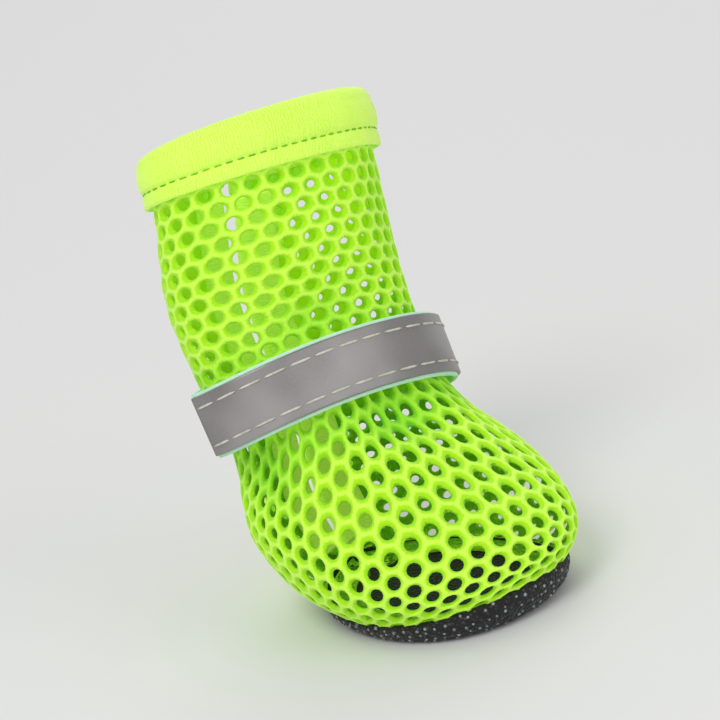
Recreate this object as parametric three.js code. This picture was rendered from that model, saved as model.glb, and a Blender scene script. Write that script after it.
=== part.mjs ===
// A small dog's mesh boot, standing empty on its sole. A mesh sock rises from a soft black sole and
// is split down the heel, so that the paw goes in from behind. Folded tape binds every open edge.
// A hook-and-loop strap with reflective tape on its outer face goes once round the ankle and
// fastens on itself at the boot's right. Millimetres, +X to the toe, +Y to the boot's left, +Z up.
import * as THREE from "three";

// Driving dimensions
const GAP = 0.3; // between pieces that touch
const TAPE_GAP = 0.45; // between a folded tape and the mesh that it binds
const MESH_WALL = 1.7;
const SOLE_THICKNESS = 2.2;
const SOLE_FLAT = 0.82; // share of the way from the sole's middle to its edge that lies flat
const ALLOWANCE_THICKNESS = 1.2; // the mesh's lower edge, turned in over the sole
const ALLOWANCE_END = 0.7; // share of the way from the sole's middle to its edge
const TAPE_THICKNESS = 1;
const TAPE_PADDED = 1.5; // where the folded tape is puffed up beside its stitch groove
const GROOVE_THICKNESS = 0.6;
const FOLD_REACH = MESH_WALL / 2 + TAPE_GAP + TAPE_THICKNESS; // past the cut edge of the mesh
const COLLAR_TAPE_DEPTH = 10;
const SLIT_TAPE_DEPTH = 10;
const STRAP_WIDTH = 15;
const STRAP_THICKNESS = 1.3;
const STRAP_HEIGHT = 53.5; // up the side of the upper, at the strap's middle
const STRAP_CLEARANCE = 0.4;
const REFLECTIVE_THICKNESS = 0.5;
const REFLECTIVE_WIDTH = 13.6;

// The upper's rings, from its seam with the sole to its collar. Each has a toe-side point (xf, zf),
// a heel-side point (xb, zb), a half width, how far its sides rise above the line between the two
// points, how it banks up to the left, and its shift to the left.
const RINGS = [
  { at: "sole seam", xf: 31.5, zf: 8, xb: -31, zb: 4.5, half: 24.8, rise: -2.4, bank: 0, shift: 0 },
  { at: "low wall", xf: 33.5, zf: 12.5, xb: -35, zb: 9, half: 30.5, rise: -1.5, bank: 0, shift: 0 },
  { at: "fullest", xf: 30.5, zf: 18.5, xb: -38, zb: 14.5, half: 33, rise: 0, bank: 0, shift: 0 },
  { at: "toe top", xf: 23.5, zf: 25, xb: -40, zb: 19, half: 33.5, rise: 0, bank: -0.02, shift: 0 },
  { at: "vamp", xf: 14.5, zf: 31.5, xb: -40.5, zb: 23.5, half: 32.5, rise: -0.5, bank: -0.04, shift: -0.2 },
  { at: "instep", xf: 6, zf: 38, xb: -40.5, zb: 28, half: 30.5, rise: -1, bank: -0.07, shift: -0.4 },
  { at: "under strap", xf: 0, zf: 45, xb: -40.5, zb: 33, half: 28, rise: -2, bank: -0.11, shift: -0.5 },
  { at: "strap", xf: -4.5, zf: 52.5, xb: -41, zb: 39, half: 27.6, rise: -2.5, bank: -0.13, shift: -1.1 },
  { at: "over strap", xf: -7.5, zf: 61.5, xb: -43.5, zb: 48, half: 28.4, rise: -2, bank: -0.13, shift: -1.8 },
  { at: "shaft", xf: -11, zf: 79.5, xb: -48.2, zb: 66.5, half: 29.8, rise: -0.5, bank: -0.13, shift: -1.7 },
  { at: "tape tail", xf: -14.5, zf: 99.5, xb: -48, zb: 87.5, half: 28.8, rise: 0, bank: -0.13, shift: 0.6 },
  { at: "collar", xf: -17, zf: 113, xb: -48, zb: 100, half: 28.6, rise: 0, bank: -0.1, shift: 1.5 },
];

// The plan of each of those rings: the share of its length where it is widest, how square its toe
// and heel are, and half the width of the open slit at its heel.
const PLANS = [
  { of: "sole seam", widest: 0.56, toe: 0.07, heel: -0.04, slit: 0.8 },
  { of: "low wall", widest: 0.55, toe: 0.07, heel: 0, slit: 0.8 },
  { of: "fullest", widest: 0.52, toe: 0.06, heel: 0.03, slit: 0.8 },
  { of: "toe top", widest: 0.5, toe: 0.05, heel: 0.04, slit: 0.8 },
  { of: "vamp", widest: 0.5, toe: 0.03, heel: 0.03, slit: 0.8 },
  { of: "instep", widest: 0.5, toe: 0.02, heel: 0.02, slit: 0.8 },
  { of: "under strap", widest: 0.5, toe: 0.02, heel: 0.02, slit: 0.8 },
  { of: "strap", widest: 0.5, toe: 0.02, heel: 0.02, slit: 0.8 },
  { of: "over strap", widest: 0.5, toe: 0.02, heel: 0.02, slit: 0.9 },
  { of: "shaft", widest: 0.5, toe: 0.02, heel: 0.02, slit: 1.3 },
  { of: "tape tail", widest: 0.5, toe: 0.02, heel: 0.02, slit: 2 },
  { of: "collar", widest: 0.5, toe: 0.02, heel: 0.02, slit: 2.6 },
];

// Soft folds of the slack mesh. Each is centred at a turn in degrees from the toe and a height up
// the side, is this wide and tall, stands out or, where negative, sinks in, slants round by so many
// degrees for each millimetre up, and climbs by so many millimetres for each degree round.
const FOLDS = [
  { at: "under the strap", turn: 2, height: 42, wide: 18, tall: 5.5, out: -2.4, slant: 0, climb: 0 },
  { at: "left of that", turn: 33, height: 39, wide: 12, tall: 8, out: 1.1, slant: 0.8, climb: 0 },
  { at: "under the strap's end", turn: -80, height: 41, wide: 20, tall: 6, out: -2.6, slant: 0, climb: 0 },
  { at: "between the two", turn: -46, height: 38, wide: 11, tall: 9, out: 1.4, slant: 1.5, climb: 0 },
  { at: "over the strap", turn: -12, height: 69, wide: 30, tall: 6, out: -1.5, slant: 0, climb: 0.09 },
  { at: "higher in front", turn: -30, height: 80, wide: 34, tall: 8, out: 0.8, slant: 0, climb: 0.12 },
  { at: "left of the ankle", turn: 90, height: 68, wide: 18, tall: 10, out: -2, slant: -0.6, climb: 0 },
  { at: "left of the heel", turn: 128, height: 36, wide: 18, tall: 8, out: -1.8, slant: 0, climb: 0 },
  { at: "right of the heel", turn: -134, height: 34, wide: 16, tall: 8, out: -1.5, slant: 0, climb: 0 },
  { at: "up the shaft's left", turn: 50, height: 90, wide: 14, tall: 16, out: -1, slant: 0.3, climb: 0 },
];

// The strap's way round, as turns in degrees from the toe, positive to the boot's left. Each is a
// whole number of steps.
const STRAP_STEP = 6;
const STRAP_TURNS = { start: -60, tapeStart: -132, leaveShaft: -444, end: -450 };
const STRAP_LIFT_TURN = 36; // over which the last turn climbs onto the first

const COLUMNS = 44; // of faces round the boot
const SLIT_ROWS = 20; // of faces up the slit
const COLLAR_ROWS = 3; // of mesh faces under the collar's tape
const DEGREE = Math.PI / 180;

const TABLE = RINGS.map((ring, i) => ({ ...ring, ...PLANS[i] }));
const SIZES = Object.keys(TABLE[0]).filter((name) => name !== "at" && name !== "of");

// Height of each ring up the side of the upper
const ringHeights = () => {
  const heights = [0];
  for (let i = 1; i < RINGS.length; i++) {
    const low = RINGS[i - 1];
    const high = RINGS[i];
    const climb = (high.zf + high.zb - low.zf - low.zb) / 2 + high.rise - low.rise;
    const travel = (high.xf + high.xb - low.xf - low.xb) / 2;
    heights.push(heights[i - 1] + Math.hypot(climb, travel, high.half - low.half));
  }
  return heights;
};
const HEIGHTS = ringHeights();
const COLLAR_HEIGHT = HEIGHTS[HEIGHTS.length - 1];

// A smooth curve through one column of the ring table
const slopeAt = (name, i) => {
  const before = Math.max(i - 1, 0);
  const after = Math.min(i + 1, TABLE.length - 1);
  return (TABLE[after][name] - TABLE[before][name]) / (HEIGHTS[after] - HEIGHTS[before]);
};

const ringAt = (height) => {
  let i = 0;
  while (i < TABLE.length - 2 && height > HEIGHTS[i + 1]) i++;
  const span = HEIGHTS[i + 1] - HEIGHTS[i];
  const t = (height - HEIGHTS[i]) / span;
  const ring = {};
  for (const name of SIZES) {
    ring[name] = TABLE[i][name] * (2 * t ** 3 - 3 * t ** 2 + 1)
      + slopeAt(name, i) * span * (t ** 3 - 2 * t ** 2 + t)
      + TABLE[i + 1][name] * (3 * t ** 2 - 2 * t ** 3)
      + slopeAt(name, i + 1) * span * (t ** 3 - t ** 2);
  }
  return ring;
};

// A point of the upper's outer face before it is folded, at a turn from the toe and a height up
// the side
const smoothFace = (turn, height) => {
  const ring = ringAt(height);
  const cos = Math.cos(turn);
  const sin = Math.sin(turn);
  const square = cos > 0 ? ring.toe : ring.heel;
  const along = cos * (1 + square * sin * sin);
  const across = ring.half * sin * (1 + square * cos * cos);
  const share = ring.widest + (cos > 0 ? 1 - ring.widest : ring.widest) * along;
  return new THREE.Vector3(
    ring.xb + (ring.xf - ring.xb) * share,
    ring.shift + across,
    ring.zb + (ring.zf - ring.zb) * share + ring.rise * sin * sin + ring.bank * across,
  );
};

const normalOf = (surface, turn, height) => {
  const low = Math.max(height - 0.3, 0);
  const round = surface(turn + 0.01, height).sub(surface(turn - 0.01, height));
  const up = surface(turn, low + 0.6).sub(surface(turn, low));
  return round.cross(up).normalize();
};

// How far the folds stand out from the smooth face
const foldAt = (turn, height) => {
  const degrees = THREE.MathUtils.euclideanModulo(turn / DEGREE + 180, 360) - 180;
  let out = 0;
  for (const fold of FOLDS) {
    const round = (degrees - fold.turn - fold.slant * (height - fold.height)) / fold.wide;
    const up = (height - fold.height - fold.climb * (degrees - fold.turn)) / fold.tall;
    out += fold.out * Math.exp(-round * round - up * up);
  }
  return out;
};

// A point of the upper's outer face
const face = (turn, height) =>
  smoothFace(turn, height).addScaledVector(normalOf(smoothFace, turn, height), foldAt(turn, height));

// A point off the upper's outer face, negative towards the paw
const offFace = (turn, height, off) =>
  face(turn, height).addScaledVector(normalOf(face, turn, height), off);

// The turn at which a ring's heel is this far to the side of its middle
const turnBeside = (height, distance) => {
  const ring = ringAt(height);
  return Math.PI - Math.asin(Math.min(distance / (ring.half * (1 + ring.heel)), 1));
};

// The mesh's rows of faces, up to its cut edge inside the fold of the collar's tape. The tapes of
// the slit share the rows below the collar's tape.
const FIRST_ROW = 1.5 * MESH_WALL;
const MESH_TOP = COLLAR_HEIGHT - FOLD_REACH;
const SLIT_TOP = MESH_TOP - COLLAR_TAPE_DEPTH - GAP;
const evenly = (from, to, count) =>
  Array.from({ length: count + 1 }, (_, i) => from + ((to - from) * i) / count);
const SLIT_HEIGHTS = evenly(FIRST_ROW, SLIT_TOP, SLIT_ROWS);
const MESH_HEIGHTS = [...SLIT_HEIGHTS, ...evenly(SLIT_TOP, MESH_TOP, COLLAR_ROWS).slice(1)];

// A closed wall between an outer and an inner grid of points. The columns either join up all the
// way round or stop at two end faces.
const wall = (outer, inner) => {
  const rows = outer.length;
  const columns = outer[0].length;
  const positions = [];
  for (const grid of [outer, inner]) {
    for (const row of grid) {
      for (const point of row) positions.push(point.x, point.y, point.z);
    }
  }
  const indices = [];
  const quad = (a, b, c, d) => indices.push(a, b, c, a, c, d);
  const out = (i, j) => i * columns + j;
  const inn = (i, j) => (rows + i) * columns + j;
  for (let i = 0; i < rows - 1; i++) {
    for (let j = 0; j < columns - 1; j++) {
      quad(out(i, j), out(i, j + 1), out(i + 1, j + 1), out(i + 1, j));
      quad(inn(i, j), inn(i + 1, j), inn(i + 1, j + 1), inn(i, j + 1));
    }
    quad(out(i, 0), out(i + 1, 0), inn(i + 1, 0), inn(i, 0));
    const end = columns - 1;
    quad(out(i, end), inn(i, end), inn(i + 1, end), out(i + 1, end));
  }
  for (let j = 0; j < columns - 1; j++) {
    const top = rows - 1;
    quad(out(0, j), inn(0, j), inn(0, j + 1), out(0, j + 1));
    quad(out(top, j), out(top, j + 1), inn(top, j + 1), inn(top, j));
  }
  const geometry = new THREE.BufferGeometry();
  geometry.setAttribute("position", new THREE.Float32BufferAttribute(positions, 3));
  geometry.setIndex(facingOut(positions, indices));
  return geometry;
};

// Turns every triangle over if the body they close is inside out
const facingOut = (positions, indices) => {
  const corner = (index) => new THREE.Vector3().fromArray(positions, index * 3);
  let volume = 0;
  for (let i = 0; i < indices.length; i += 3) {
    volume += corner(indices[i]).dot(corner(indices[i + 1]).cross(corner(indices[i + 2])));
  }
  if (volume > 0) return indices;
  for (let i = 0; i < indices.length; i += 3) {
    [indices[i], indices[i + 1]] = [indices[i + 1], indices[i]];
  }
  return indices;
};

// A point of the tray that the sole makes. The climb goes from 0 on its flat to a quarter turn at
// its rim, and lift is the distance above its underside.
const trayPoint = (turn, share, climb, lift) => {
  const rim = face(turn, 0);
  const middle = (RINGS[0].xf + RINGS[0].xb) / 2;
  const spoke = new THREE.Vector3(rim.x - middle, rim.y, 0);
  const reach = share + (1 - SOLE_FLAT) * Math.sin(climb);
  const toMiddle = spoke.clone().normalize();
  const point = spoke.multiplyScalar(reach).addScaledVector(toMiddle, -lift * Math.sin(climb));
  point.x += middle;
  point.z = (rim.z - GAP) * (1 - Math.cos(climb)) + lift * Math.cos(climb);
  return point;
};

const CLIMBS = [0, 30, 55, 75, 90].map((angle) => angle * DEGREE);

// The sole, closed all the way round, with its underside flat on the ground
const soleGeometry = () => {
  const columns = COLUMNS;
  const positions = [];
  const indices = [];
  const ringOf = (share, climb, lift) => {
    for (let j = 0; j < columns; j++) {
      const point = trayPoint((2 * Math.PI * j) / columns, share, climb, lift);
      positions.push(point.x, point.y, point.z);
    }
  };
  const middle = (RINGS[0].xf + RINGS[0].xb) / 2;
  for (const climb of CLIMBS) ringOf(SOLE_FLAT, climb, 0);
  for (const climb of [...CLIMBS].reverse()) ringOf(SOLE_FLAT, climb, SOLE_THICKNESS);
  const rings = 2 * CLIMBS.length;
  for (let i = 0; i < rings - 1; i++) {
    for (let j = 0; j < columns; j++) {
      const next = (j + 1) % columns;
      const low = i * columns;
      const high = low + columns;
      indices.push(low + j, low + next, high + next, low + j, high + next, high + j);
    }
  }
  const bottom = rings * columns;
  const top = bottom + 1;
  positions.push(middle, 0, 0, middle, 0, SOLE_THICKNESS);
  for (let j = 0; j < columns; j++) {
    const next = (j + 1) % columns;
    const last = (rings - 1) * columns;
    indices.push(bottom, next, j, top, last + j, last + next);
  }
  const geometry = new THREE.BufferGeometry();
  geometry.setAttribute("position", new THREE.Float32BufferAttribute(positions, 3));
  geometry.setIndex(facingOut(positions, indices));
  return geometry;
};

// The mesh wall, from its turned-in lower edge up to just under the fold of the collar's tape, and
// from one edge of the slit round the toe to the other
const upperGeometry = () => {
  const outer = [];
  const inner = [];
  const row = (height, point) => {
    const turns = turnBeside(height, ringAt(height).slit + FOLD_REACH);
    return evenly(-turns, turns, COLUMNS).map(point);
  };
  const low = SOLE_THICKNESS + GAP;
  const high = low + ALLOWANCE_THICKNESS;
  outer.push(row(0, (turn) => trayPoint(turn, ALLOWANCE_END, 0, low)));
  inner.push(row(0, (turn) => trayPoint(turn, ALLOWANCE_END, 0, high)));
  for (const climb of CLIMBS) {
    outer.push(row(0, (turn) => trayPoint(turn, SOLE_FLAT, climb, low)));
    inner.push(row(0, (turn) => trayPoint(turn, SOLE_FLAT, climb, high)));
  }
  const overRim = (turn, lift) => {
    const point = trayPoint(turn, SOLE_FLAT, Math.PI / 2, lift);
    point.z += GAP;
    return point;
  };
  outer.push(row(0, (turn) => overRim(turn, low)), row(0, (turn) => face(turn, 0)));
  inner.push(row(0, (turn) => overRim(turn, high)));
  inner.push(row(0, (turn) => offFace(turn, 0.6 * FIRST_ROW, -FIRST_ROW)));
  for (const height of MESH_HEIGHTS) {
    outer.push(row(height, (turn) => face(turn, height)));
    inner.push(row(height, (turn) => offFace(turn, height, -MESH_WALL)));
  }
  return wall(outer, inner);
};

// The section of a folded tape, from its tail over the cut edge of the mesh to its inner leg. In is
// the distance from the cut edge, off the distance from the mesh's outer face.
const tapeSection = (depth, innerDepth) => {
  const tail = 3.6;
  const legs = [
    { into: depth, thick: TAPE_THICKNESS },
    { into: depth - tail + 0.8, thick: TAPE_THICKNESS },
    { into: depth - tail, thick: GROOVE_THICKNESS },
    { into: depth - tail - 1, thick: TAPE_PADDED },
    { into: depth * 0.35, thick: TAPE_PADDED },
    { into: 0, thick: TAPE_THICKNESS },
  ];
  const section = legs.map(({ into, thick }) => ({
    inner: { into, off: TAPE_GAP },
    outer: { into, off: TAPE_GAP + thick },
  }));
  const radius = FOLD_REACH - TAPE_THICKNESS;
  for (const angle of [45, 90, 135, 180]) {
    const around = (r) => ({
      into: -r * Math.sin(angle * DEGREE),
      off: -MESH_WALL / 2 + r * Math.cos(angle * DEGREE),
    });
    section.push({ inner: around(radius), outer: around(radius + TAPE_THICKNESS) });
  }
  const under = -MESH_WALL - TAPE_GAP;
  section.push({
    inner: { into: innerDepth, off: under },
    outer: { into: innerDepth, off: under - TAPE_THICKNESS },
  });
  return section;
};

const collarBindingGeometry = () => {
  const rowOf = ({ into, off }) => {
    const height = MESH_TOP - into;
    const turns = turnBeside(height, ringAt(height).slit);
    return evenly(-turns, turns, COLUMNS).map((turn) => offFace(turn, height, off));
  };
  const section = tapeSection(COLLAR_TAPE_DEPTH, COLLAR_TAPE_DEPTH - 3);
  return wall(section.map((s) => rowOf(s.outer)), section.map((s) => rowOf(s.inner)));
};

const slitBindingGeometry = (side) => {
  const columnOf = ({ into, off }) => SLIT_HEIGHTS.map((height) => {
    const turn = side * turnBeside(height, ringAt(height).slit + FOLD_REACH + into);
    return offFace(turn, height, off);
  });
  const section = tapeSection(SLIT_TAPE_DEPTH, SLIT_TAPE_DEPTH - 3);
  return wall(section.map((s) => columnOf(s.outer)), section.map((s) => columnOf(s.inner)));
};

// The strap lies partly square to its own ring and partly flat on the mesh, more so at the heel
const strapRule = (turn) => {
  const ring = ringAt(STRAP_HEIGHT);
  const forward = new THREE.Vector3(ring.xf - ring.xb, 0, ring.zf - ring.zb);
  const square = forward.cross(new THREE.Vector3(0, 1, ring.bank)).normalize();
  const reach = STRAP_WIDTH / 2;
  const low = smoothFace(turn, STRAP_HEIGHT - reach);
  const flat = smoothFace(turn, STRAP_HEIGHT + reach).sub(low).normalize();
  return square.lerp(flat, 0.55 - 0.35 * Math.cos(turn)).normalize();
};

const strapOut = (turn) => {
  const before = smoothFace(turn - 0.02, STRAP_HEIGHT);
  const round = smoothFace(turn + 0.02, STRAP_HEIGHT).sub(before);
  return round.cross(strapRule(turn)).normalize();
};

// How far the mesh, or the tape at the slit, swells past its waist within the strap's width
const swellUnderStrap = (turn) => {
  const waist = smoothFace(turn, STRAP_HEIGHT);
  const out = strapOut(turn);
  let swell = 0;
  for (const rise of evenly(-STRAP_WIDTH / 2 - 1, STRAP_WIDTH / 2 + 1, 12)) {
    swell = Math.max(swell, face(turn, STRAP_HEIGHT + rise).sub(waist).dot(out));
  }
  const besideSlit = Math.abs(waist.y - ringAt(STRAP_HEIGHT).shift) - SLIT_TAPE_DEPTH - FOLD_REACH;
  const overTape = Math.cos(turn) < 0 ? 1 - THREE.MathUtils.smoothstep(besideSlit, 1, 6) : 0;
  return swell + overTape * (TAPE_GAP + TAPE_PADDED);
};

// How far the strap stands off the waist there: past the swellings near it, and evened out
const strapStand = (turn) => {
  const near = evenly(-12, 12, 6).map((step) => step * DEGREE);
  let stand = 0;
  for (const step of near) {
    const swells = near.map((further) => swellUnderStrap(turn + step + further));
    stand += Math.max(...swells) / near.length;
  }
  return stand;
};

// The strap's middle line on its inner face, for a turn that may go past a full circle
const strapLine = (degrees) => {
  const held = Math.max(degrees, STRAP_TURNS.leaveShaft);
  const turn = held * DEGREE;
  const onto = STRAP_TURNS.start - 360 + STRAP_LIFT_TURN - held;
  const climbed = THREE.MathUtils.smoothstep(onto, 0, STRAP_LIFT_TURN);
  const stand = STRAP_CLEARANCE + strapStand(turn) + climbed * (STRAP_THICKNESS + GAP);
  const out = strapOut(turn);
  const rule = strapRule(turn);
  const point = smoothFace(turn, STRAP_HEIGHT).addScaledVector(out, stand);
  point.addScaledVector(rule.clone().cross(out), -(held - degrees) * 0.5);
  return { point, out, rule };
};

const bandGeometry = (from, to, width, inside, outside) => {
  const inner = [[], []];
  const outer = [[], []];
  for (const turn of evenly(from, to, (from - to) / STRAP_STEP)) {
    const { point, out, rule } = strapLine(turn);
    for (const edge of [0, 1]) {
      const along = point.clone().addScaledVector(rule, (edge - 0.5) * width);
      inner[edge].push(along.clone().addScaledVector(out, inside));
      outer[edge].push(along.clone().addScaledVector(out, outside));
    }
  }
  return wall(outer, inner);
};

const strapGeometry = () =>
  bandGeometry(STRAP_TURNS.start, STRAP_TURNS.end, STRAP_WIDTH, 0, STRAP_THICKNESS);

const reflectiveGeometry = () => {
  const inside = STRAP_THICKNESS + GAP;
  const outside = inside + REFLECTIVE_THICKNESS;
  return bandGeometry(STRAP_TURNS.tapeStart, STRAP_TURNS.end, REFLECTIVE_WIDTH, inside, outside);
};

const MATERIALS = {
  sole: new THREE.MeshStandardMaterial({ color: "#17181a", roughness: 0.9, metalness: 0 }),
  mesh: new THREE.MeshStandardMaterial({ color: "#a6f016", roughness: 0.75, metalness: 0 }),
  tape: new THREE.MeshStandardMaterial({ color: "#bdfb3a", roughness: 0.9, metalness: 0 }),
  strap: new THREE.MeshStandardMaterial({ color: "#b9f0cf", roughness: 0.9, metalness: 0 }),
  reflective: new THREE.MeshStandardMaterial({ color: "#8c8a88", roughness: 0.4, metalness: 0.2 }),
};

const PIECES = [
  { name: "sole", shape: soleGeometry(), material: MATERIALS.sole },
  { name: "upper", shape: upperGeometry(), material: MATERIALS.mesh },
  { name: "collar_binding", shape: collarBindingGeometry(), material: MATERIALS.tape },
  { name: "slit_binding_right", shape: slitBindingGeometry(-1), material: MATERIALS.tape },
  { name: "slit_binding_left", shape: slitBindingGeometry(1), material: MATERIALS.tape },
  { name: "strap", shape: strapGeometry(), material: MATERIALS.strap },
  { name: "reflective_tape", shape: reflectiveGeometry(), material: MATERIALS.reflective },
];

const boot = new THREE.Group();
for (const { name, shape, material } of PIECES) {
  const mesh = new THREE.Mesh(shape, material);
  mesh.name = name;
  boot.add(mesh);
}

export default boot;
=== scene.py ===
# %% [markdown]
# # A small dog's mesh boot
# The real boot is sewn from a few soft pieces. A sock of large-hole air mesh is split down the
# heel. Soft folded tape binds the collar and the slit. A black fabric sole with rubber dots closes
# it below. A hook-and-loop strap with grey reflective tape goes round the ankle. Each piece is made
# here in its own cell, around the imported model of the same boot.

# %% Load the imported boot
import math

import bmesh
import bpy
import bpy
import numpy as np
from functools import partial
from mathutils import Matrix, Vector


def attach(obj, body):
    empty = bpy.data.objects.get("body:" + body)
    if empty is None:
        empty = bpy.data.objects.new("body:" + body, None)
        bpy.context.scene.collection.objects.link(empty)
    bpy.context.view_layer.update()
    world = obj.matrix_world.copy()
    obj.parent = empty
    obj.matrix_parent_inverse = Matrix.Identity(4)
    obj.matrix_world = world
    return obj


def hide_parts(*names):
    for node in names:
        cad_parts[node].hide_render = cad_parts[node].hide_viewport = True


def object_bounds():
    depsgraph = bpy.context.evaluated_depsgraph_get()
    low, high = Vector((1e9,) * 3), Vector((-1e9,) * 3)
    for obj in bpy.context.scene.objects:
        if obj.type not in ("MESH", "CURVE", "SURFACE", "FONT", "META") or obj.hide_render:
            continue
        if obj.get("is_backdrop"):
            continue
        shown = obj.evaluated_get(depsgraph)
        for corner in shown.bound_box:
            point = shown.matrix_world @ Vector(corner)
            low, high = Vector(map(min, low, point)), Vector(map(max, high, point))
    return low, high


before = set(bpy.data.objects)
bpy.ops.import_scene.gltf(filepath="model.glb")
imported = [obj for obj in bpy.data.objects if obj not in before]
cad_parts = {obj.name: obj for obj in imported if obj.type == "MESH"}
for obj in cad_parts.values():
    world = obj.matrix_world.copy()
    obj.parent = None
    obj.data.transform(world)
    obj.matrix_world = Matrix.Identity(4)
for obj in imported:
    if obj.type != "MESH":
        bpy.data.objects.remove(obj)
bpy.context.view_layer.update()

# %% [markdown]
# ## The boot's form
# A shoemaker works on a last. Here the last is a formula. The table below holds rings round the
# boot, from the seam with the sole up to the collar, in millimetres. Between two rings every
# column of the table is read off a smooth curve. A point of the mesh is then given by its turn, an
# angle from the toe, and its height, the way up the side. All pieces use this one form, so they fit.

# %% The rings
RING_COLUMNS = ("xf", "zf", "xb", "zb", "half", "rise", "bank", "shift", "widest", "toe", "heel", "slit")
RINGS = {
    "sole seam": (31.5, 8, -31, 4.5, 24.8, -2.4, 0, 0, 0.56, 0.07, -0.04, 0.8),
    "low wall": (33.5, 12.5, -35, 9, 30.5, -1.5, 0, 0, 0.55, 0.07, 0, 0.8),
    "fullest": (30.5, 18.5, -38, 14.5, 33, 0, 0, 0, 0.52, 0.06, 0.03, 0.8),
    "toe top": (23.5, 25, -40, 19, 33.5, 0, -0.02, 0, 0.5, 0.05, 0.04, 0.8),
    "vamp": (14.5, 31.5, -40.5, 23.5, 32.5, -0.5, -0.04, -0.2, 0.5, 0.03, 0.03, 0.8),
    "instep": (6, 38, -40.5, 28, 30.5, -1, -0.07, -0.4, 0.5, 0.02, 0.02, 0.8),
    "under strap": (0, 45, -40.5, 33, 28, -2, -0.11, -0.5, 0.5, 0.02, 0.02, 0.8),
    "strap": (-4.5, 52.5, -41, 39, 27.6, -2.5, -0.13, -1.1, 0.5, 0.02, 0.02, 0.8),
    "over strap": (-7.5, 61.5, -43.5, 48, 28.4, -2, -0.13, -1.8, 0.5, 0.02, 0.02, 0.9),
    "shaft": (-11, 79.5, -48.2, 66.5, 29.8, -0.5, -0.13, -1.7, 0.5, 0.02, 0.02, 1.3),
    "tape tail": (-14.5, 99.5, -48, 87.5, 28.8, 0, -0.13, 0.6, 0.5, 0.02, 0.02, 2),
    "collar": (-17, 113, -48, 100, 28.6, 0, -0.1, 1.5, 0.5, 0.02, 0.02, 2.6),
}
TABLE = {name: np.array([row[i] for row in RINGS.values()], float) for i, name in enumerate(RING_COLUMNS)}


def climb_between_rings():
    """Height of each ring up the side of the boot."""
    level = (TABLE["zf"] + TABLE["zb"]) / 2 + TABLE["rise"]
    travel = (TABLE["xf"] + TABLE["xb"]) / 2
    steps = np.sqrt(np.diff(level) ** 2 + np.diff(travel) ** 2 + np.diff(TABLE["half"]) ** 2)
    return np.concatenate([[0], np.cumsum(steps)])


HEIGHTS = climb_between_rings()
COLLAR_HEIGHT = HEIGHTS[-1]


def ring_at(height):
    """Every column of the ring table at these heights, read off smooth curves."""
    height = np.asarray(height, float)
    last = len(HEIGHTS) - 1
    i = np.clip(np.searchsorted(HEIGHTS, height, side="right") - 1, 0, last - 1)
    span = HEIGHTS[i + 1] - HEIGHTS[i]
    t = (height - HEIGHTS[i]) / span
    before = np.maximum(np.arange(last + 1) - 1, 0)
    after = np.minimum(np.arange(last + 1) + 1, last)
    ring = {}
    for name, column in TABLE.items():
        slope = (column[after] - column[before]) / (HEIGHTS[after] - HEIGHTS[before])
        ring[name] = (column[i] * (2 * t**3 - 3 * t**2 + 1) + slope[i] * span * (t**3 - 2 * t**2 + t)
                      + column[i + 1] * (3 * t**2 - 2 * t**3) + slope[i + 1] * span * (t**3 - t**2))
    return ring


def smooth_face(turn, height):
    """The mesh's outer face before it is folded."""
    turn, height = np.broadcast_arrays(np.asarray(turn, float), np.asarray(height, float))
    ring = ring_at(height)
    cos, sin = np.cos(turn), np.sin(turn)
    square = np.where(cos > 0, ring["toe"], ring["heel"])
    along = cos * (1 + square * sin * sin)
    across = ring["half"] * sin * (1 + square * cos * cos)
    share = ring["widest"] + np.where(cos > 0, 1 - ring["widest"], ring["widest"]) * along
    level = ring["zb"] + (ring["zf"] - ring["zb"]) * share + ring["rise"] * sin * sin + ring["bank"] * across
    return np.stack([ring["xb"] + (ring["xf"] - ring["xb"]) * share, ring["shift"] + across, level], -1)


def unit(vectors):
    return vectors / np.linalg.norm(vectors, axis=-1, keepdims=True)


TURN_STEP, HEIGHT_STEP = 0.01, 0.3


def normal_of(surface, turn, height):
    """The direction out of a surface, from its slopes round the boot and up it."""
    low = np.maximum(np.asarray(height, float) - HEIGHT_STEP, 0)
    round_it = surface(turn + TURN_STEP, height) - surface(turn - TURN_STEP, height)
    return unit(np.cross(round_it, surface(turn, low + 2 * HEIGHT_STEP) - surface(turn, low)))


print("collar is", round(float(COLLAR_HEIGHT), 1), "mm up the side")
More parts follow.
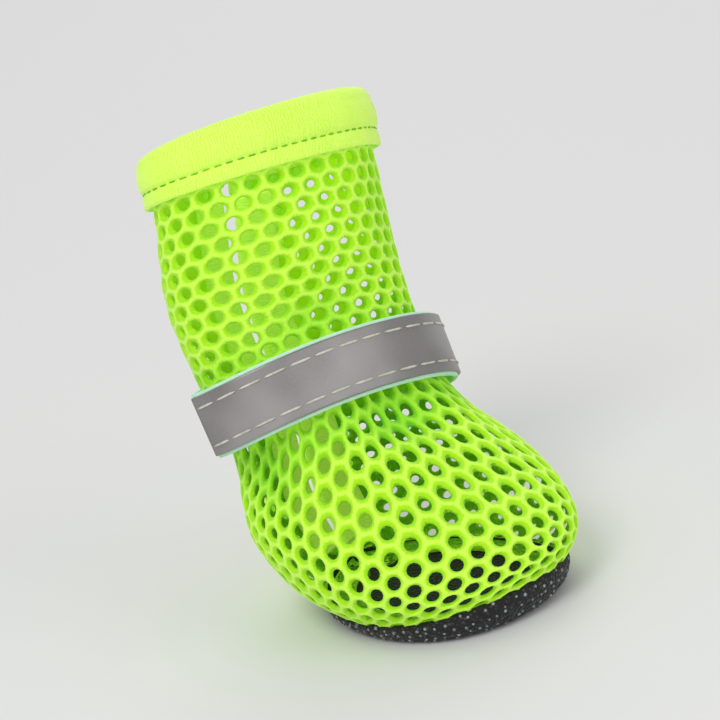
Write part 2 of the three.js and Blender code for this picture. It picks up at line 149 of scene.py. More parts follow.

# %% [markdown]
# ## Folds and creases
# Slack mesh folds where the strap pulls it in. Each fold is a soft hill or hollow on the form,
# placed at a turn and a height. The big ones are also in the imported model. The small
# creases are added here, where they only catch the light.

# %% Place the folds
FOLD_COLUMNS = ("turn", "height", "wide", "tall", "out", "slant", "climb")
FOLDS = [
    (2, 42, 18, 5.5, -2.4, 0, 0),
    (33, 39, 12, 8, 1.1, 0.8, 0),
    (-80, 41, 20, 6, -2.6, 0, 0),
    (-46, 38, 11, 9, 1.4, 1.5, 0),
    (-12, 69, 30, 6, -1.5, 0, 0.09),
    (-30, 80, 34, 8, 0.8, 0, 0.12),
    (90, 68, 18, 10, -2, -0.6, 0),
    (128, 36, 18, 8, -1.8, 0, 0),
    (-134, 34, 16, 8, -1.5, 0, 0),
    (50, 90, 14, 16, -1, 0.3, 0),
]
CREASES = [
    (-4, 43, 16, 3.2, -1.6, 0, 0),
    (-2, 37, 20, 2.4, 1.5, 0, 0.04),
    (24, 42, 5, 6, 1.2, -0.8, 0),
    (-30, 41, 4, 6, 0.9, 0.8, 0),
    (16, 41, 4, 5, -0.5, 1.2, 0),
    (-22, 42, 5, 6, 0.6, -0.9, 0),
    (-62, 36, 6, 8, -0.7, 2.4, 0),
    (-70, 64, 5, 9, -0.6, 1.0, 0),
    (-88, 68, 4, 10, 0.5, 0.6, 0),
    (-100, 78, 4, 16, -0.5, 0.3, 0),
    (-6, 66, 22, 2.6, -1.0, 0, -0.1),
    (-14, 71.5, 24, 2.4, 0.9, 0, -0.1),
    (-58, 84, 5, 18, -0.9, 0.25, 0),
    (-70, 88, 4, 16, 0.7, 0.25, 0),
    (110, 74, 14, 3, -0.7, 0, 0.2),
    (145, 80, 10, 4, -0.6, 0, 0),
    (-150, 70, 10, 4, -0.6, 0, -0.1),
    (60, 30, 18, 3, 0.5, 0, 0.1),
]


def folds_out(turn, height, folds):
    degrees = (np.degrees(turn) + 180) % 360 - 180
    out = np.zeros(np.broadcast(turn, height).shape)
    for fold in folds:
        at = dict(zip(FOLD_COLUMNS, fold))
        away = degrees - at["turn"]
        round_it = (away - at["slant"] * (height - at["height"])) / at["wide"]
        up_it = (height - at["height"] - at["climb"] * away) / at["tall"]
        out = out + at["out"] * np.exp(-round_it**2 - up_it**2)
    return out


def folded(turn, height, folds):
    """The smooth face, moved in or out by these folds."""
    turn, height = np.broadcast_arrays(np.asarray(turn, float), np.asarray(height, float))
    out = folds_out(turn, height, folds)
    return smooth_face(turn, height) + normal_of(smooth_face, turn, height) * out[..., None]


def packed_face(turn, height):
    """The mesh's outer face as it is packed."""
    return folded(turn, height, FOLDS)


def face(turn, height):
    """The mesh's outer face with its small creases."""
    return folded(turn, height, FOLDS + CREASES)


def off_face(turn, height, off):
    """Points this far off the creased face."""
    return face(turn, height) + normal_of(face, turn, height) * np.asarray(off, float)[..., None]


print(len(FOLDS), "folds and", len(CREASES), "creases")

# %% [markdown]
# ## The sizes of the pieces
# These are the sizes of the real cloths and tapes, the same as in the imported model.

# %% Sizes, mm
DEGREE = math.pi / 180
GAP = 0.3
TAPE_GAP = 0.45
MESH_WALL = 1.7
SOLE_THICKNESS = 2.2
SOLE_FLAT = 0.82
ALLOWANCE_DEPTH, ALLOWANCE_END = 13.0, 0.7
TAPE_THICKNESS = 1.0
FOLD_REACH = MESH_WALL / 2 + TAPE_GAP + TAPE_THICKNESS
TAPE_DEPTH = 10
TAIL = 3.6
SEAM = TAPE_DEPTH - TAIL
INNER_LEG = TAPE_DEPTH - 3
STRAP_WIDTH = 15
STRAP_THICKNESS = 1.3
STRAP_HEIGHT = 53.5
STRAP_CLEARANCE = 0.4
REFLECTIVE_THICKNESS = 0.5
REFLECTIVE_WIDTH = 13.6
STRAP_START, TAPE_START, LEAVE_SHAFT, STRAP_END = -60, -132, -444, -450
STRAP_LIFT_TURN = 36
MESH_TOP = COLLAR_HEIGHT - FOLD_REACH
FIRST_ROW = 1.5 * MESH_WALL
SLIT_TOP = MESH_TOP - TAPE_DEPTH - GAP
MM = 0.001


def turn_beside(height, distance):
    """The turn at which a ring's heel is this far to the side of its middle."""
    ring = ring_at(height)
    return math.pi - np.arcsin(np.minimum(distance / (ring["half"] * (1 + ring["heel"])), 1))


print("boot's mesh ends", round(float(MESH_TOP), 1), "mm up the side")

# %% [markdown]
# ## Helpers that turn points into pieces
# Most pieces are walls: a grid of points for the outer face and one for the inner face, closed
# round the edges. The small ones are tubes of rings. Each point of a wall also keeps its place on
# the flat cloth in an attribute named cloth, so that a weave follows the cloth and not the room.

# %% Mesh helpers
def linked(name, data):
    """A new object at the scene's origin."""
    made = bpy.data.objects.new(name, data)
    bpy.context.scene.collection.objects.link(made)
    return made


def plain_mesh(name, points, edges=(), faces=(), **attributes):
    """An object from points in millimetres. An attribute has one number or vector for each point."""
    data = bpy.data.meshes.new(name)
    data.from_pydata((np.asarray(points) * MM).tolist(), edges, faces)
    for key, values in attributes.items():
        kind, field = ("FLOAT_VECTOR", "vector") if np.ndim(values) > 1 else ("FLOAT", "value")
        layer = data.attributes.new(key, kind, "POINT")
        layer.data.foreach_set(field, np.asarray(values, np.float32).ravel())
    return linked(name, data)


def shade_smooth(piece):
    piece.data.polygons.foreach_set("use_smooth", [True] * len(piece.data.polygons))
    return piece


def new_piece(name, points, faces, material=None, **attributes):
    """A closed smooth piece with all its faces outwards."""
    piece = plain_mesh(name, points, (), faces, **attributes)
    work = bmesh.new()
    work.from_mesh(piece.data)
    bmesh.ops.recalc_face_normals(work, faces=work.faces)
    if work.calc_volume(signed=True) < 0:
        bmesh.ops.reverse_faces(work, faces=work.faces)
    work.to_mesh(piece.data)
    work.free()
    if material:
        piece.data.materials.append(material)
    return shade_smooth(piece)


def wall(name, outer, inner, along, across, material):
    """A closed wall between two grids of points, rows by columns. Its flat cloth is along by across."""
    rows, columns = outer.shape[:2]
    o = np.arange(rows * columns).reshape(rows, columns)
    n = o + rows * columns
    strips = [
        (o[:-1, :-1], o[:-1, 1:], o[1:, 1:], o[1:, :-1]),
        (n[:-1, :-1], n[1:, :-1], n[1:, 1:], n[:-1, 1:]),
        (o[:-1, 0], o[1:, 0], n[1:, 0], n[:-1, 0]),
        (o[:-1, -1], n[:-1, -1], n[1:, -1], o[1:, -1]),
        (o[0, :-1], n[0, :-1], n[0, 1:], o[0, 1:]),
        (o[-1, :-1], o[-1, 1:], n[-1, 1:], n[-1, :-1]),
    ]
    faces = np.concatenate([np.stack(s, -1).reshape(-1, 4) for s in strips])
    cloth = np.zeros(outer.shape)
    cloth[..., 0], cloth[..., 1] = along, across[:, None]
    points = np.stack([outer, inner]).reshape(-1, 3)
    return new_piece(name, points, faces.tolist(), material, cloth=np.stack([cloth, cloth]).reshape(-1, 3))


def closed_tube(name, rings, ends=None, material=None):
    """Rings of points, closed by a flat face at each end, or by a fan to each of two end points."""
    here = np.arange(len(rings) * len(rings[0])).reshape(len(rings), -1)
    after = np.roll(here, -1, axis=1)
    faces = np.stack([here[:-1], after[:-1], after[1:], here[1:]], -1).reshape(-1, 4).tolist()
    if ends is None:
        faces += [here[0, ::-1].tolist(), here[-1].tolist()]
        return new_piece(name, np.concatenate(rings), faces, material)
    faces += [(here.size, b, a) for a, b in zip(here[0], after[0])]
    faces += [(here.size + 1, a, b) for a, b in zip(here[-1], after[-1])]
    return new_piece(name, np.concatenate([*rings, ends]), faces, material)


def small_ring(radius, at, sides, axis):
    """A circle of points round an axis, 0 for X and 2 for Z, this far along it."""
    angles = 2 * math.pi * np.arange(sides) / sides
    points = np.full((sides, 3), float(at))
    points[:, (axis + 1) % 3] = radius * np.cos(angles)
    points[:, (axis + 2) % 3] = radius * np.sin(angles)
    return points


def applied(piece):
    """Turns a piece with modifiers into a plain mesh and takes the modifiers off."""
    shaped = piece.evaluated_get(bpy.context.evaluated_depsgraph_get())
    data = bpy.data.meshes.new_from_object(shaped)
    data.name = piece.name
    piece.modifiers.clear()
    piece.data = data
    return shade_smooth(piece)


def triangles(piece):
    return sum(len(p.vertices) - 2 for p in piece.data.polygons)


# %% [markdown]
# ## Shared shader groups
# Cloths share a few effects: a fuzz of fibres in uneven patches, a weave, soft ribs, and a grain
# of dark threads. Each is a node group that is built once and placed in several materials with
# other values. The groups put out heights and masks, and the Principled shader stays in each
# material.

# %% Node helpers
def new_group(kind, name, inputs, outputs):
    """A node group, what it is given, and its results. A socket has a default, or only a kind."""
    group = bpy.data.node_groups.new(name, kind)
    for side, sockets in (("INPUT", inputs), ("OUTPUT", outputs)):
        for socket, value in sockets.items():
            sort = {int: "Int", float: "Float"}.get(type(value), value)
            made = group.interface.new_socket(socket, in_out=side, socket_type="NodeSocket" + sort)
            if sort != value:
                made.default_value = value
    return group, group.nodes.new("NodeGroupInput").outputs, group.nodes.new("NodeGroupOutput").inputs


def put(tree, socket, value):
    """Links a socket to a value that comes from a node, or else sets it."""
    if isinstance(value, bpy.types.NodeSocket):
        tree.links.new(value, socket)
    else:
        socket.default_value = value


def node(tree, kind, settings=None, **inputs):
    """Adds a node, sets its properties, and puts values in its inputs. i0 is its first input."""
    made = tree.nodes.new(kind)
    for key, value in (settings or {}).items():
        setattr(made, key, value)
    for key, value in inputs.items():
        by_number = key[0] == "i" and key[1:].isdigit()
        put(tree, made.inputs[int(key[1:]) if by_number else key.replace("_", " ")], value)
    return made


def maths(tree, operation, first, *others):
    """A Math node for each further value, which works on the result so far."""
    for other in others or (0.0,):
        first = node(tree, "ShaderNodeMath", {"operation": operation}, i0=first, i1=other).outputs[0]
    return first


def plus(tree, *values):
    return maths(tree, "ADD", *values)


def times(tree, *values):
    return maths(tree, "MULTIPLY", *values)


def wave(tree, turns):
    """Up and down once in each turn, from -1 to 1."""
    return maths(tree, "SINE", times(tree, turns, 2 * math.pi))


def noise(tree, place, scale, detail=2.0, roughness=0.5):
    inputs = {"Vector": place, "Scale": scale, "Detail": detail, "Roughness": roughness}
    return node(tree, "ShaderNodeTexNoise", **inputs).outputs[0]


def object_place(tree):
    return node(tree, "ShaderNodeTexCoord").outputs["Object"]


def attribute(tree, name, output="Fac"):
    return node(tree, "ShaderNodeAttribute", {"attribute_name": name}).outputs[output]


def parts_of(tree, place):
    """The X, Y and Z of a place."""
    return node(tree, "ShaderNodeSeparateXYZ", i0=place).outputs


# %% The shader groups
def shader_group(name, inputs, *outputs):
    return new_group("ShaderNodeTree", name, inputs, dict.fromkeys(outputs, "Float"))


def make_fuzz():
    """Loose fibres: a fine nap with larger uneven patches. Object coordinates, sizes per metre."""
    sizes = {"Nap per metre": 2600.0, "Patches per metre": 260.0}
    group, given, result = shader_group("fuzz", sizes, "Height", "Patches")
    place = object_place(group)
    group.links.new(noise(group, place, given["Nap per metre"], 3.0, 0.6), result["Height"])
    group.links.new(noise(group, place, given["Patches per metre"]), result["Patches"])
    return group


def make_weave():
    """Crossing threads on the flat cloth, along it and across it, in millimetres."""
    group, given, result = shader_group("weave", {"Along mm": 0.6, "Across mm": 0.6}, "Height")
    parts = parts_of(group, attribute(group, "cloth", "Vector"))
    waves = [wave(group, maths(group, "DIVIDE", parts[i], given[i])) for i in (0, 1)]
    group.links.new(plus(group, times(group, *waves, 0.5), 0.5), result["Height"])
    return group


def make_ribs():
    """Soft ribs across a flat cloth, made uneven by noise. The rib size is in millimetres."""
    group, given, result = shader_group("ribs", {"Rib mm": 0.7}, "Height")
    cloth = attribute(group, "cloth", "Vector")
    turns = maths(group, "DIVIDE", parts_of(group, cloth)[0], given["Rib mm"])
    drift = times(group, noise(group, cloth, 0.35), 3.0)
    uneven = times(group, wave(group, plus(group, turns, drift)), noise(group, cloth, 0.6, 1.0), 0.7)
    group.links.new(plus(group, uneven, 0.5), result["Height"])
    return group


def make_grain():
    """A tight grain for pieces with no flat cloth: small cells, and specks. Sizes per metre."""
    group, given, result = shader_group("grain", {"Per metre": 1500.0}, "Height", "Specks")
    place, size = object_place(group), given["Per metre"]
    cells = node(group, "ShaderNodeTexVoronoi", {"feature": "F1"}, Vector=place, Scale=size)
    group.links.new(cells.outputs["Distance"], result["Height"])
    group.links.new(noise(group, place, size), result["Specks"])
    return group


FUZZ, WEAVE, RIBS, GRAIN = make_fuzz(), make_weave(), make_ribs(), make_grain()
print("shader groups:", [group.name for group in (FUZZ, WEAVE, RIBS, GRAIN)])


# %% Material helpers
def linear(colour):
    """A web colour as linear red, green, blue and full alpha."""
    parts = [int(colour[i:i + 2], 16) / 255 for i in (1, 3, 5)]
    return [p / 12.92 if p <= 0.04045 else ((p + 0.055) / 1.055) ** 2.4 for p in parts] + [1.0]


def new_material(name, **values):
    """A Principled material. The values are uniform, so they're set on the shader's own sockets."""
    material = bpy.data.materials.new(name)
    material.use_nodes = True
    shader = material.node_tree.nodes["Principled BSDF"]
    for key, value in values.items():
        shader.inputs[key.replace("_", " ")].default_value = value
    return material, material.node_tree


def finished(material, height, depth, strength, **links):
    """Bumps a material's surface by this height, and links the shader's other sockets."""
    tree = material.node_tree
    links["Normal"] = node(
        tree, "ShaderNodeBump", Height=height, Distance=depth, Strength=strength).outputs["Normal"]
    for key, value in links.items():
        tree.links.new(value, tree.nodes["Principled BSDF"].inputs[key.replace("_", " ")])
    return material


def mix(tree, share, first, second):
    """Mixes two web colours, or colours that come from nodes."""
    first, second = (linear(colour) if isinstance(colour, str) else colour for colour in (first, second))
    return node(tree, "ShaderNodeMix", {"data_type": "RGBA"}, Factor=share, i6=first, i7=second).outputs[2]


def ramp(tree, value, low, high):
    """A soft step from 0 at low to 1 at high."""
    made = node(tree, "ShaderNodeMapRange", {"interpolation_type": "SMOOTHSTEP"}, Value=value, From_Min=low,
                From_Max=high)
    return made.outputs["Result"]


def placed(tree, group, **inputs):
    """Places a shared group in a material."""
    return node(tree, "ShaderNodeGroup", {"node_tree": group}, **inputs).outputs


# %% [markdown]
# ## The net's cloth
# Fluorescent yarn is very bright, because it turns unseen light into green. A little emission of
# the same colour, a painted glow, does that. The knitted ridge round each hole stands up and is
# paler, partly from the yarn and partly as a painted highlight, and the sides that go down into the
# hole are a deeper green, partly painted shade. The attribute ridge says where a point is. Less
# light gets down into the foot, so the back of the mesh and its glow are painted darker low down.
# The attribute shade darkens the hollows of the folds and the mesh beside the strap with painted
# shade.

# %% Net material
def make_net_material():
    material, tree = new_material(
        "net_cloth", Roughness=0.7, Sheen_Weight=0.2, Sheen_Roughness=0.5, Emission_Strength=0.35,
        Specular_IOR_Level=0.22)
    fuzz = placed(tree, FUZZ, Nap_per_metre=1500.0, Patches_per_metre=420.0)
    uneven = times(tree, maths(tree, "SUBTRACT", fuzz["Height"], 0.5), 0.8)
    level = plus(tree, attribute(tree, "ridge"), uneven)
    front = ramp(tree, level, -1.0, -0.45)
    crest = ramp(tree, level, 0.15, 0.95)
    # painted shade: the mesh's inside and its glow get darker low down in the foot
    lit = ramp(tree, parts_of(tree, object_place(tree))[2], 0.022, 0.062)
    inside = mix(tree, lit, "#58a200", mix(tree, fuzz["Patches"], "#96d002", "#a8dc0c"))
    flank = mix(tree, fuzz["Patches"], "#96d802", "#a8e410")
    # painted highlight on the paler crests, and painted shade in the deeper greens down into the holes, each
    # partly the yarn's own tone
    colour = mix(tree, crest, mix(tree, front, inside, flank), "#cdfc52")
    glow = mix(tree, front, mix(tree, lit, "#3a6c00", "#96cc00"), "#6c9c08")
    # painted shade: deeper greens and a darker glow in the fold hollows and beside the strap
    shade = attribute(tree, "shade")
    deep = mix(tree, ramp(tree, level, -0.4, 0.9), "#3eae00", "#7cdc0c")
    colour = mix(tree, times(tree, shade, 0.9), colour, deep)
    glow = mix(tree, shade, glow, "#2c5c00")
    return finished(material, fuzz["Height"], 0.00034, 0.8, Base_Color=colour, Emission_Color=glow)


NET_CLOTH = make_net_material()
print("material:", NET_CLOTH.name)

# %% [markdown]
# ## The other cloths
# The tape is a brushed knit with soft ribs across it. Its pile and ribs are paler where they stand
# up, a painted highlight, and a little emission of its colour is a painted glow. The strap's loops
# are a pale, even fuzz. The reflective tape is grey cloth under fine glass beads, so it is part
# metal, part cloth, with glints. Its broad lighter patches are a painted sheen and its palest specks
# painted glints. The sole is black with grey threads that catch the light; the grey on the raised
# threads is partly their own colour and partly a painted highlight. Thread and rubber are small,
# so two close shades in patches and a fine grain are enough for them.

# %% Tape, strap and sole materials
SOFT = 0.35, 0.65


def make_tape_material():
    material, tree = new_material(
        "brushed_tape", Roughness=0.8, Sheen_Weight=0.4, Sheen_Roughness=0.4, Emission_Strength=0.15)
    ribs = placed(tree, RIBS, Rib_mm=0.66)
    fuzz = placed(tree, FUZZ, Nap_per_metre=2400.0, Patches_per_metre=90.0)
    pile = plus(tree, fuzz["Height"], times(tree, ribs["Height"], 0.45))
    mottle_and_sheen = mix(tree, ramp(tree, fuzz["Patches"], *SOFT), "#bcf232", "#c8f840")
    # painted highlight where the pile and the ribs stand up; the emission of this colour is a painted glow
    colour = mix(tree, ramp(tree, pile, 0.45, 0.95), mottle_and_sheen, "#d8fb68")
    return finished(material, pile, 0.00016, 0.8, Base_Color=colour, Emission_Color=colour)


def make_strap_material():
    material, tree = new_material("strap_loops", Roughness=0.85, Sheen_Weight=0.3)
    fuzz = placed(tree, FUZZ, Nap_per_metre=2800.0, Patches_per_metre=300.0)
    colour = mix(tree, fuzz["Patches"], "#b0eccb", "#d8f8e6")
    return finished(material, fuzz["Height"], 0.0003, 0.8, Base_Color=colour)


def make_reflective_material():
    material, tree = new_material("reflective_cloth", Metallic=0.45, Specular_IOR_Level=0.6)
    weave = placed(tree, WEAVE, Along_mm=0.4, Across_mm=0.4)
    fuzz = placed(tree, FUZZ, Nap_per_metre=2600.0, Patches_per_metre=40.0)
    glass = plus(tree, times(tree, fuzz["Height"], 0.7), times(tree, weave["Height"], 0.3))
    # painted sheen in the broad lighter patches, and painted glints where the beads stand up
    mottle_and_sheen = mix(tree, ramp(tree, fuzz["Patches"], 0.38, 0.66), "#827f7e", "#9c9998")
    colour = mix(tree, times(tree, ramp(tree, glass, 0.5, 0.75), 0.35), mottle_and_sheen, "#a9a6a5")
    rough = plus(tree, times(tree, fuzz["Patches"], 0.2), 0.3)
    return finished(material, glass, 0.00006, 0.5, Base_Color=colour, Roughness=rough)


def make_sole_material():
    material, tree = new_material("sole_cloth", Roughness=0.8, Sheen_Weight=0.1)
    grain = placed(tree, GRAIN, Per_metre=1150.0)
    threads = maths(tree, "SUBTRACT", 1.0, grain["Height"])
    # grey on the raised threads: partly their own colour, partly a painted highlight
    lit = times(tree, ramp(tree, threads, 0.45, 0.85), ramp(tree, grain["Specks"], 0.42, 0.62))
    return finished(material, threads, 0.0005, 0.9, Base_Color=mix(tree, lit, "#0d0d0e", "#4a494b"))


def make_small_material(name, dark, pale, roughness, nap, depth):
    """Thread or rubber: two close shades in patches, and a fine grain."""
    material, tree = new_material(name)
    fuzz = placed(tree, FUZZ, Nap_per_metre=nap, Patches_per_metre=500.0)
    colour = mix(tree, ramp(tree, fuzz["Patches"], *SOFT), dark, pale)
    rough = plus(tree, times(tree, fuzz["Height"], 0.2), roughness)
    return finished(material, fuzz["Height"], depth, 0.6, Base_Color=colour, Roughness=rough)


TAPE_CLOTH, STRAP_CLOTH = make_tape_material(), make_strap_material()
REFLECTIVE_CLOTH, SOLE_CLOTH = make_reflective_material(), make_sole_material()
THREAD = {"roughness": 0.6, "nap": 4200.0, "depth": 0.00008}
THREAD_PALE = make_small_material("pale_thread", "#b9baab", "#d2d2c6", **THREAD)
THREAD_GREEN = make_small_material("green_thread", "#6cb208", "#8ad014", **THREAD)
DOT_RUBBER = make_small_material(
    "dot_rubber", "#6c6f75", "#94979c", roughness=0.22, nap=1800.0, depth=0.00003)
print("materials:", [material.name for material in bpy.data.materials])

# %% [markdown]
# ## The net: seats for the holes
# Air mesh is a honeycomb of knitted ridges. A honeycomb is the dual of a triangle grid: each corner
# of the triangles becomes one hole. So this cell lays out the holes' middles over the form. On the
# shaft the rows follow the rings. On the foot one flat piece of mesh was pulled over the toe, so
# its rows sink towards the sides. The change between the two lies under the strap. Towards the
# heel the mesh isn't stretched, so its holes are smaller there. Each seat keeps its hole's size in
# an attribute, and in another how much painted shade it gets: in the hollows of the folds, and
# below and above the strap.

# %% Lay out the holes
ROW_PITCH = 3.7
SHAFT_COLUMNS, FOOT_COLUMNS = 25, 35
FOOT_SINK, SINK_ROUNDS = 16.0, 12
ZONE_SPLIT, ZONE_OVERLAP = 53.5, 1.5
SLACK_SHRINK, SLACK_TURNS = 0.45, (60, 115)
EDGE_MARGIN, EDGE_REACH = 2.4, 4.2
SHAKE_TURN, SHAKE_HEIGHT, SHAKE_SIZE = 0.006, 0.12, 0.035
SOLE_MIDDLE = (TABLE["xf"][0] + TABLE["xb"][0]) / 2
FOLD_DEPTH, SHADE_WIDTH, SHADE_UNDER, SHADE_OVER = 3, 3, 0.8, 0.5


def smoothstep(value, low, high):
    t = np.clip((value - low) / (high - low), 0, 1)
    return t * t * (3 - 2 * t)


def lengths(points):
    """How far along a line of points each one is."""
    return np.concatenate([[0], np.cumsum(np.linalg.norm(np.diff(points, axis=0), axis=1))])


def turn_table():
    """Turns at even shares of the way round from the toe to the slit, for even heights."""
    heights = np.linspace(0, MESH_TOP, 90)
    shares = np.linspace(0, 1, 101)
    turns = []
    for height in heights:
        steps = np.linspace(0, turn_beside(height, ring_at(height)["slit"] + FOLD_REACH), 200)
        length = lengths(smooth_face(steps, height))
        turns.append(np.interp(shares, length / length[-1], steps))
    return heights, shares, np.array(turns)


TABLE_HEIGHTS, TABLE_SHARES, TABLE_TURNS = turn_table()


def turn_at(share, height):
    """The turn at this share of the way to the slit, read between the table's four nearest turns."""
    h = np.clip(height, 0, MESH_TOP) / MESH_TOP * (len(TABLE_HEIGHTS) - 1)
    s = np.clip(np.abs(share), 0, 1) * (len(TABLE_SHARES) - 1)
    i = np.minimum(h.astype(int), len(TABLE_HEIGHTS) - 2)
    j = np.minimum(s.astype(int), len(TABLE_SHARES) - 2)
    a, b = h - i, s - j
    low = TABLE_TURNS[i, j] * (1 - b) + TABLE_TURNS[i, j + 1] * b
    high = TABLE_TURNS[i + 1, j] * (1 - b) + TABLE_TURNS[i + 1, j + 1] * b
    return np.sign(share) * (low * (1 - a) + high * a)


def hole_grid(columns, first, last, sink):
    """Shares, heights and triangles of a zone's holes. Rows sink to the sides by sink."""
    half = columns / 2
    count = 2 * int(half) + 1
    shares, levels, starts = [], [], []
    for row in range(int((last - first + 2 * sink) / ROW_PITCH) + 2):
        odd = row % 2
        places = np.arange(-int(half) - odd, int(half) + 1) + 0.5 * odd
        at_slit = np.abs(np.abs(places) - half) < 0.6
        starts.append(len(shares))
        shares += list(np.where(at_slit, np.sign(places), np.clip(places / half, -1, 1)))
        levels += [first + row * ROW_PITCH] * len(places)
    faces = []
    for row in range(len(starts) - 1):
        # an odd row has one more hole than an even row
        even, odd = starts[row + row % 2], starts[row + 1 - row % 2]
        for k in range(count):
            faces.append((even + k, odd + k, odd + k + 1))
            if k + 1 < count:
                faces.append((even + k, even + k + 1, odd + k + 1))
    shares, levels = np.array(shares), np.array(levels)
    heights = levels
    for _ in range(SINK_ROUNDS):
        heights = levels - sink * (1 - np.cos(turn_at(shares, heights)))
    return shares, heights, np.array(faces)


def trimmed(shares, heights, faces, low, high):
    """Cuts the grid off at two heights and pulls its edge onto them."""
    inside = (heights > low - EDGE_MARGIN) & (heights < high + EDGE_MARGIN)
    faces = faces[inside[faces].all(1)]
    edges = np.sort(np.concatenate([faces[:, [0, 1]], faces[:, [1, 2]], faces[:, [2, 0]]]), 1)
    found, count = np.unique(edges, axis=0, return_counts=True)
    border = np.zeros(len(heights), bool)
    border[found[count == 1].ravel()] = True
    heights = heights.copy()
    for end in (low, high):
        heights[border & (np.abs(heights - end) < EDGE_REACH)] = end
    heights = np.clip(heights, low, high)
    used = np.unique(faces)
    order = np.full(len(heights), -1)
    order[used] = np.arange(len(used))
    return shares[used], heights[used], order[faces]


def tucked_face(turn, height):
    """The face, which below the sole seam goes in behind the sole's rim."""
    point = face(turn, np.maximum(height, 0))
    under = np.minimum(height, 0)[:, None]
    inwards = unit(point * [1, 1, 0] - [[0.5, 0, 0]])
    return point + under * (0.75 * inwards + [[0, 0, 0.9]])


def tray_point(turn, share, climb, lift):
    """A point of the sole's tray: climb goes from 0 on its flat to a quarter turn at its rim."""
    rim = packed_face(turn, 0 * turn)
    spoke = rim * [1, 1, 0] - [SOLE_MIDDLE, 0, 0]
    reach = share + (1 - SOLE_FLAT) * np.sin(climb)
    point = spoke * np.reshape(reach, (-1, 1)) - unit(spoke) * np.reshape(lift * np.sin(climb), (-1, 1))
    point[:, 0] += SOLE_MIDDLE
    point[:, 2] = (rim[:, 2] - GAP) * (1 - np.cos(climb)) + lift * np.cos(climb)
    return point


def allowance(turn, height):
    """The mesh's lower edge, turned in over the sole: down inside its rim, then onto its flat."""
    gone = 1 - height / ALLOWANCE_DEPTH
    on_rim, steepest = 0.72, 80 * DEGREE
    climb = np.clip(1 - gone / on_rim, 0, 1) * steepest
    share = SOLE_FLAT - (SOLE_FLAT - ALLOWANCE_END) * np.clip((gone - on_rim) / (1 - on_rim), 0, 1)
    return tray_point(turn, share, climb, SOLE_THICKNESS + GAP)


def painted_shade_amount(turns, heights):
    """From 0 to 1: how much painted shade a point gets, deep in a fold or close under or over the strap."""
    folded_in = -folds_out(turns, heights, FOLDS + CREASES) / FOLD_DEPTH
    rise = heights - STRAP_HEIGHT + STRAP_WIDTH / 2
    under = SHADE_UNDER * np.exp(-((rise + 2) / SHADE_WIDTH) ** 2)
    over = SHADE_OVER * np.exp(-((rise - STRAP_WIDTH - 1) / SHADE_WIDTH) ** 2)
    return np.clip(np.max([folded_in, under, over], axis=0), 0, 1)


def seats_piece(name, columns, low, high, sink=0, seed=0, stretch=1.0, form=tucked_face):
    """A zone's triangle grid on its form, with one corner for each hole."""
    grid = hole_grid(columns, low - 2 * ROW_PITCH, high + 4, sink)
    shares, heights, faces = trimmed(*grid, low, high)
    shake = np.random.default_rng(seed)
    turns = turn_at(shares, heights)
    free = (np.abs(shares) < 0.99) & (heights > low + 1) & (heights < high - 1)
    turns = turns + free * shake.normal(0, SHAKE_TURN, len(turns))
    heights = heights + free * shake.normal(0, SHAKE_HEIGHT, len(heights))
    points = form(turns, heights)
    first, second, third = (points[faces[:, i]] for i in range(3))
    outwards = normal_of(smooth_face, turns, np.maximum(heights, 0))[faces[:, 0]]
    if form is allowance:
        outwards = outwards * [1, 1, 0] - [0, 0, 1]
    inside_out = (np.cross(second - first, third - first) * outwards).sum(1) < 0
    faces[inside_out] = faces[inside_out][:, ::-1]
    slack = smoothstep(np.abs(turns) / DEGREE, *SLACK_TURNS)
    sizes = stretch * (1 - SLACK_SHRINK * slack) * shake.normal(1, SHAKE_SIZE, len(turns))
    print(name, "has", len(points), "holes")
    # each seat keeps its painted shade, from the folds and from the strap, in the attribute hollow
    return plain_mesh(name, points, (), faces.tolist(), size=sizes, hollow=painted_shade_amount(turns, heights))


SEATS = [
    seats_piece("shaft_seats", SHAFT_COLUMNS, ZONE_SPLIT - ZONE_OVERLAP, MESH_TOP, seed=3),
    seats_piece("foot_seats", FOOT_COLUMNS, -1.0, ZONE_SPLIT + ZONE_OVERLAP, FOOT_SINK, seed=4, stretch=1.08),
    seats_piece("allowance_seats", FOOT_COLUMNS, 0.0, ALLOWANCE_DEPTH, seed=5, form=allowance),
]

# %% [markdown]
# ## Helpers for Geometry Nodes
# Every tree here has the same ends. Geometry and a material go in beside the tree's own inputs, and
# real meshes with that material come out. Two trees set copies of a small pattern on points. The
# pattern is thrown away once the copies are real.

# %% Geometry Nodes helpers
def new_tree(name, inputs):
    inputs = {"Geometry": "Geometry", **inputs, "Material": "Material"}
    return new_group("GeometryNodeTree", name, inputs, {"Geometry": "Geometry"})


def live(sockets, name):
    """The socket of this name that the node's settings leave switched on."""
    return next(socket for socket in sockets if socket.enabled and socket.name == name)


def read(tree, name, kind="FLOAT_VECTOR"):
    """What an attribute says."""
    made = node(tree, "GeometryNodeInputNamedAttribute", {"data_type": kind}, Name=name)
    return live(made.outputs, "Attribute")


def copies(tree, points, pattern, axis, direction, **size):
    """A copy of the pattern on each point, with its axis turned along a direction."""
    shape = node(tree, "GeometryNodeObjectInfo", {"transform_space": "ORIGINAL"}, Object=pattern)
    turned = node(tree, "FunctionNodeAlignRotationToVector", {"axis": axis}, Vector=direction)
    return node(tree, "GeometryNodeInstanceOnPoints", Points=points, Instance=shape.outputs["Geometry"],
                Rotation=turned.outputs[0], **size).outputs[0]


def hand_out(tree, geometry, material, result):
    """Makes copies real, gives them their material, and ends the tree."""
    real = node(tree, "GeometryNodeRealizeInstances", Geometry=geometry).outputs[0]
    dyed = node(tree, "GeometryNodeSetMaterial", Geometry=real, Material=material).outputs[0]
    tree.links.new(dyed, result[0])


